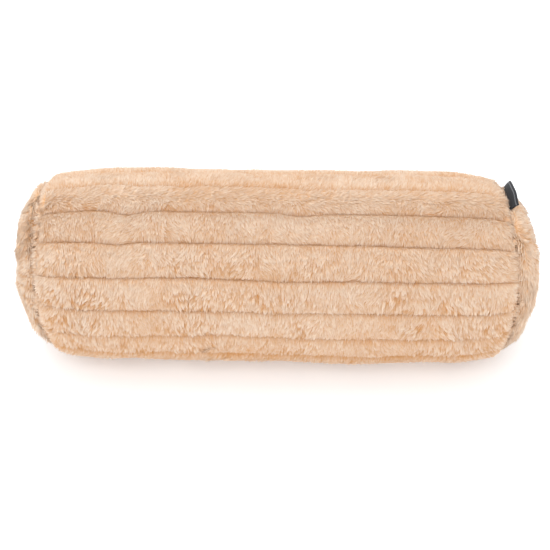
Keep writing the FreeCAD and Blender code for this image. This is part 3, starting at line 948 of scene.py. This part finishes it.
def grained(name, dark, pale, scale, roughness, relief, metallic=0.0):
    """A material with a fine irregular grain."""
    material, tree, shader = new_material(name)
    grain = texture(tree, "ShaderNodeTexNoise", scale, detail=5.0)
    tree.links.new(ramp(tree, grain, ((0.3, dark), (0.7, pale))), shader.inputs["Base Color"])
    rough = tree.nodes.new("ShaderNodeMapRange")
    rough.inputs["To Min"].default_value = roughness * 0.8
    rough.inputs["To Max"].default_value = roughness * 1.25
    tree.links.new(grain, rough.inputs["Value"])
    tree.links.new(rough.outputs["Result"], shader.inputs["Roughness"])
    raise_bump(tree, shader, grain, relief, 0.5)
    shader.inputs["Metallic"].default_value = metallic
    return material


def label_material():
    """Dark grey damask weave with one paler line near the fold."""
    material, tree, shader = new_material("woven label")
    source = tree.nodes.new("ShaderNodeUVMap")
    source.uv_map = "OFBake"
    split = tree.nodes.new("ShaderNodeSeparateXYZ")
    tree.links.new(source.outputs["UV"], split.inputs["Vector"])
    grey, pale = (0.030, 0.032, 0.037), (0.26, 0.27, 0.29)
    fold, away, half = 0.23, 0.030, 0.008
    line = ramp(tree, split.outputs["Y"], (
        (0.0, grey), (fold - away - half, grey), (fold - away, pale), (fold - away + half, grey),
        (fold + away - half, grey), (fold + away, pale), (fold + away + half, grey), (1.0, grey),
    ))
    weave = combine(
        tree,
        texture(tree, "ShaderNodeTexWave", wave_scale(0.0009), bands_direction="Y"),
        texture(tree, "ShaderNodeTexWave", wave_scale(0.0007), bands_direction="DIAGONAL"),
    )
    shade = ramp(tree, weave, ((0.0, (0.35, 0.35, 0.35)), (1.0, (2.4, 2.4, 2.4))))
    mix = tree.nodes.new("ShaderNodeMix")
    mix.data_type = "RGBA"
    mix.blend_type = "MULTIPLY"
    mix.inputs["Factor"].default_value = 1.0
    tree.links.new(line, mix.inputs["A"])
    tree.links.new(shade, mix.inputs["B"])
    tree.links.new(mix.outputs["Result"], shader.inputs["Base Color"])
    raise_bump(tree, shader, weave, 0.00012, 0.8)
    shader.inputs["Roughness"].default_value = 0.62
    shader.inputs["Specular IOR Level"].default_value = 0.25
    return material


# -------- stage, lights and camera

CAMERA_ELEVATION = math.radians(37)
CAMERA_YAW = math.radians(2.0)
CAMERA_DISTANCE = 1.5
CAMERA_ROLL = math.radians(-0.6)
VIEW_WIDTH = 0.5717  # metres that the view takes in at the pillow's axis
AIM = Vector((-0.003, 0, AXIS_Z - 0.0099 / math.cos(CAMERA_ELEVATION)))


def make_camera():
    """The camera that sees the pillow as the photo does."""
    data = bpy.data.cameras.new("camera")
    data.sensor_width = 36
    data.lens = 36 * CAMERA_DISTANCE / VIEW_WIDTH
    camera = bpy.data.objects.new("camera", data)
    bpy.context.scene.collection.objects.link(camera)
    away = Vector((
        math.sin(CAMERA_YAW) * math.cos(CAMERA_ELEVATION),
        -math.cos(CAMERA_YAW) * math.cos(CAMERA_ELEVATION),
        math.sin(CAMERA_ELEVATION),
    ))
    camera.location = AIM + away * CAMERA_DISTANCE
    look = (-away).to_track_quat("-Z", "Y")
    camera.rotation_mode = "QUATERNION"
    camera.rotation_quaternion = look @ Quaternion((0, 0, 1), CAMERA_ROLL)
    bpy.context.scene.camera = camera


def make_light(name, place, target, size, power):
    """A soft rectangular light aimed at a target."""
    data = bpy.data.lights.new(name, "AREA")
    data.shape = "RECTANGLE"
    data.size, data.size_y = size
    data.energy = power
    light = bpy.data.objects.new(name, data)
    bpy.context.scene.collection.objects.link(light)
    light.location = place
    light.rotation_mode = "QUATERNION"
    light.rotation_quaternion = (Vector(target) - Vector(place)).to_track_quat("-Z", "Y")


def make_stage():
    """The white floor, the even studio light and two soft lamps."""
    mesh = bpy.data.meshes.new("floor")
    far = 6.0
    mesh.from_pydata([(-far, -far, 0), (far, -far, 0), (far, far, 0), (-far, far, 0)], [], [(0, 1, 2, 3)])
    floor = bpy.data.objects.new("floor", mesh)
    bpy.context.scene.collection.objects.link(floor)
    material, _, shader = new_material("floor")
    shader.inputs["Base Color"].default_value = (0.87, 0.895, 0.92, 1)
    shader.inputs["Roughness"].default_value = 0.9
    shader.inputs["Emission Color"].default_value = (1, 1, 1, 1)
    shader.inputs["Emission Strength"].default_value = 0.32
    mesh.materials.append(material)
    world = bpy.data.worlds.new("studio")
    world.use_nodes = True
    world.node_tree.nodes["Background"].inputs["Color"].default_value = (1, 1, 1, 1)
    world.node_tree.nodes["Background"].inputs["Strength"].default_value = 1.0
    bpy.context.scene.world = world
    make_light("overhead", (-0.1, 0.25, 1.6), (0, 0, 0), (1.5, 1.0), 6)
    make_light("front", (-0.4, -1.7, 2.1), (0, 0, 0.1), (1.6, 1.2), 15)
    bpy.context.scene.view_settings.view_transform = "Standard"


# -------- assembly

def dress(material, *nodes):
    """Give CAD nodes that stay in view their material."""
    for node in nodes:
        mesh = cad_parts[node].data
        mesh.materials.clear()
        mesh.materials.append(material)


rings = lumpy(form_rings())
rings = simulate_form(rings)

make_camera()
make_stage()
plush = plush_material()
for index in range(WALE_COUNT):
    piece = wale(rings, index)
    piece.data.materials.append(plush)
    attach(piece, "cover")
    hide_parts("cover_body_panel")
for side, node in ((-1, "cover_end_left"), (1, "cover_end_right")):
    piece = end_disc(rings, side)
    piece.data.materials.append(plush)
    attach(piece, "cover")
    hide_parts(node)

label = side_label(rings)
label.data.materials.append(label_material())
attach(label, "cover")
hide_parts("side_label")

casing = pad_casing(rings)
casing.data.materials.append(
    woven("pad casing", (0.72, 0.66, 0.58), (0.88, 0.84, 0.78), 0.0008, 0.75)
)
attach(casing, "cover")
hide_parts("inner_casing_tube", "inner_casing_end_left", "inner_casing_end_right")

fibre = filling(rings)
fibre.data.materials.append(
    grained("polyester fibre", (0.80, 0.79, 0.77), (0.92, 0.91, 0.90), 260, 0.9, 0.0006)
)
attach(fibre, "cover")
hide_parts("filling_core")

thread = woven("sewing thread", (0.50, 0.31, 0.18), (0.72, 0.52, 0.36), 0.0006, 0.6)
for side, end in ((-1, "left"), (1, "right")):
    for part, count, inset, shares in (
        ("end_seam", SEAM_STITCHES, 0.0012, (1, 1)),
        ("inner_seam", PAD_STITCHES, -THREAD_RADIUS, (PAD_LENGTH_SHARE, PAD_RADIUS_SHARE)),
    ):
        piece = ring_stitches(f"{part}_thread_{end}", rings, side, count, inset, shares)
        piece.data.materials.append(thread)
        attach(piece, "cover")
        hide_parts(f"{part}_stitches_{end}")

dress(
    woven("zip tape", (0.52, 0.33, 0.20), (0.74, 0.54, 0.38), 0.0009, 0.8),
    "zip_tape_upper", "zip_tape_lower",
)
dress(
    grained("zip nylon", (0.56, 0.37, 0.23), (0.70, 0.50, 0.34), 900, 0.42, 0.00002),
    "zip_coil_upper", "zip_coil_lower", "zip_top_stop", "zip_bottom_stop",
)
dress(
    grained("zip metal", (0.50, 0.47, 0.43), (0.66, 0.63, 0.59), 1400, 0.30, 0.00001, 1.0),
    "zip_slider", "zip_pull_tab",
)
dress(thread, "lengthwise_seam_stitches", "zip_stitches_upper", "zip_stitches_lower")
dress(
    woven("care label", (0.74, 0.73, 0.71), (0.90, 0.89, 0.87), 0.0005, 0.4), "care_label",
)
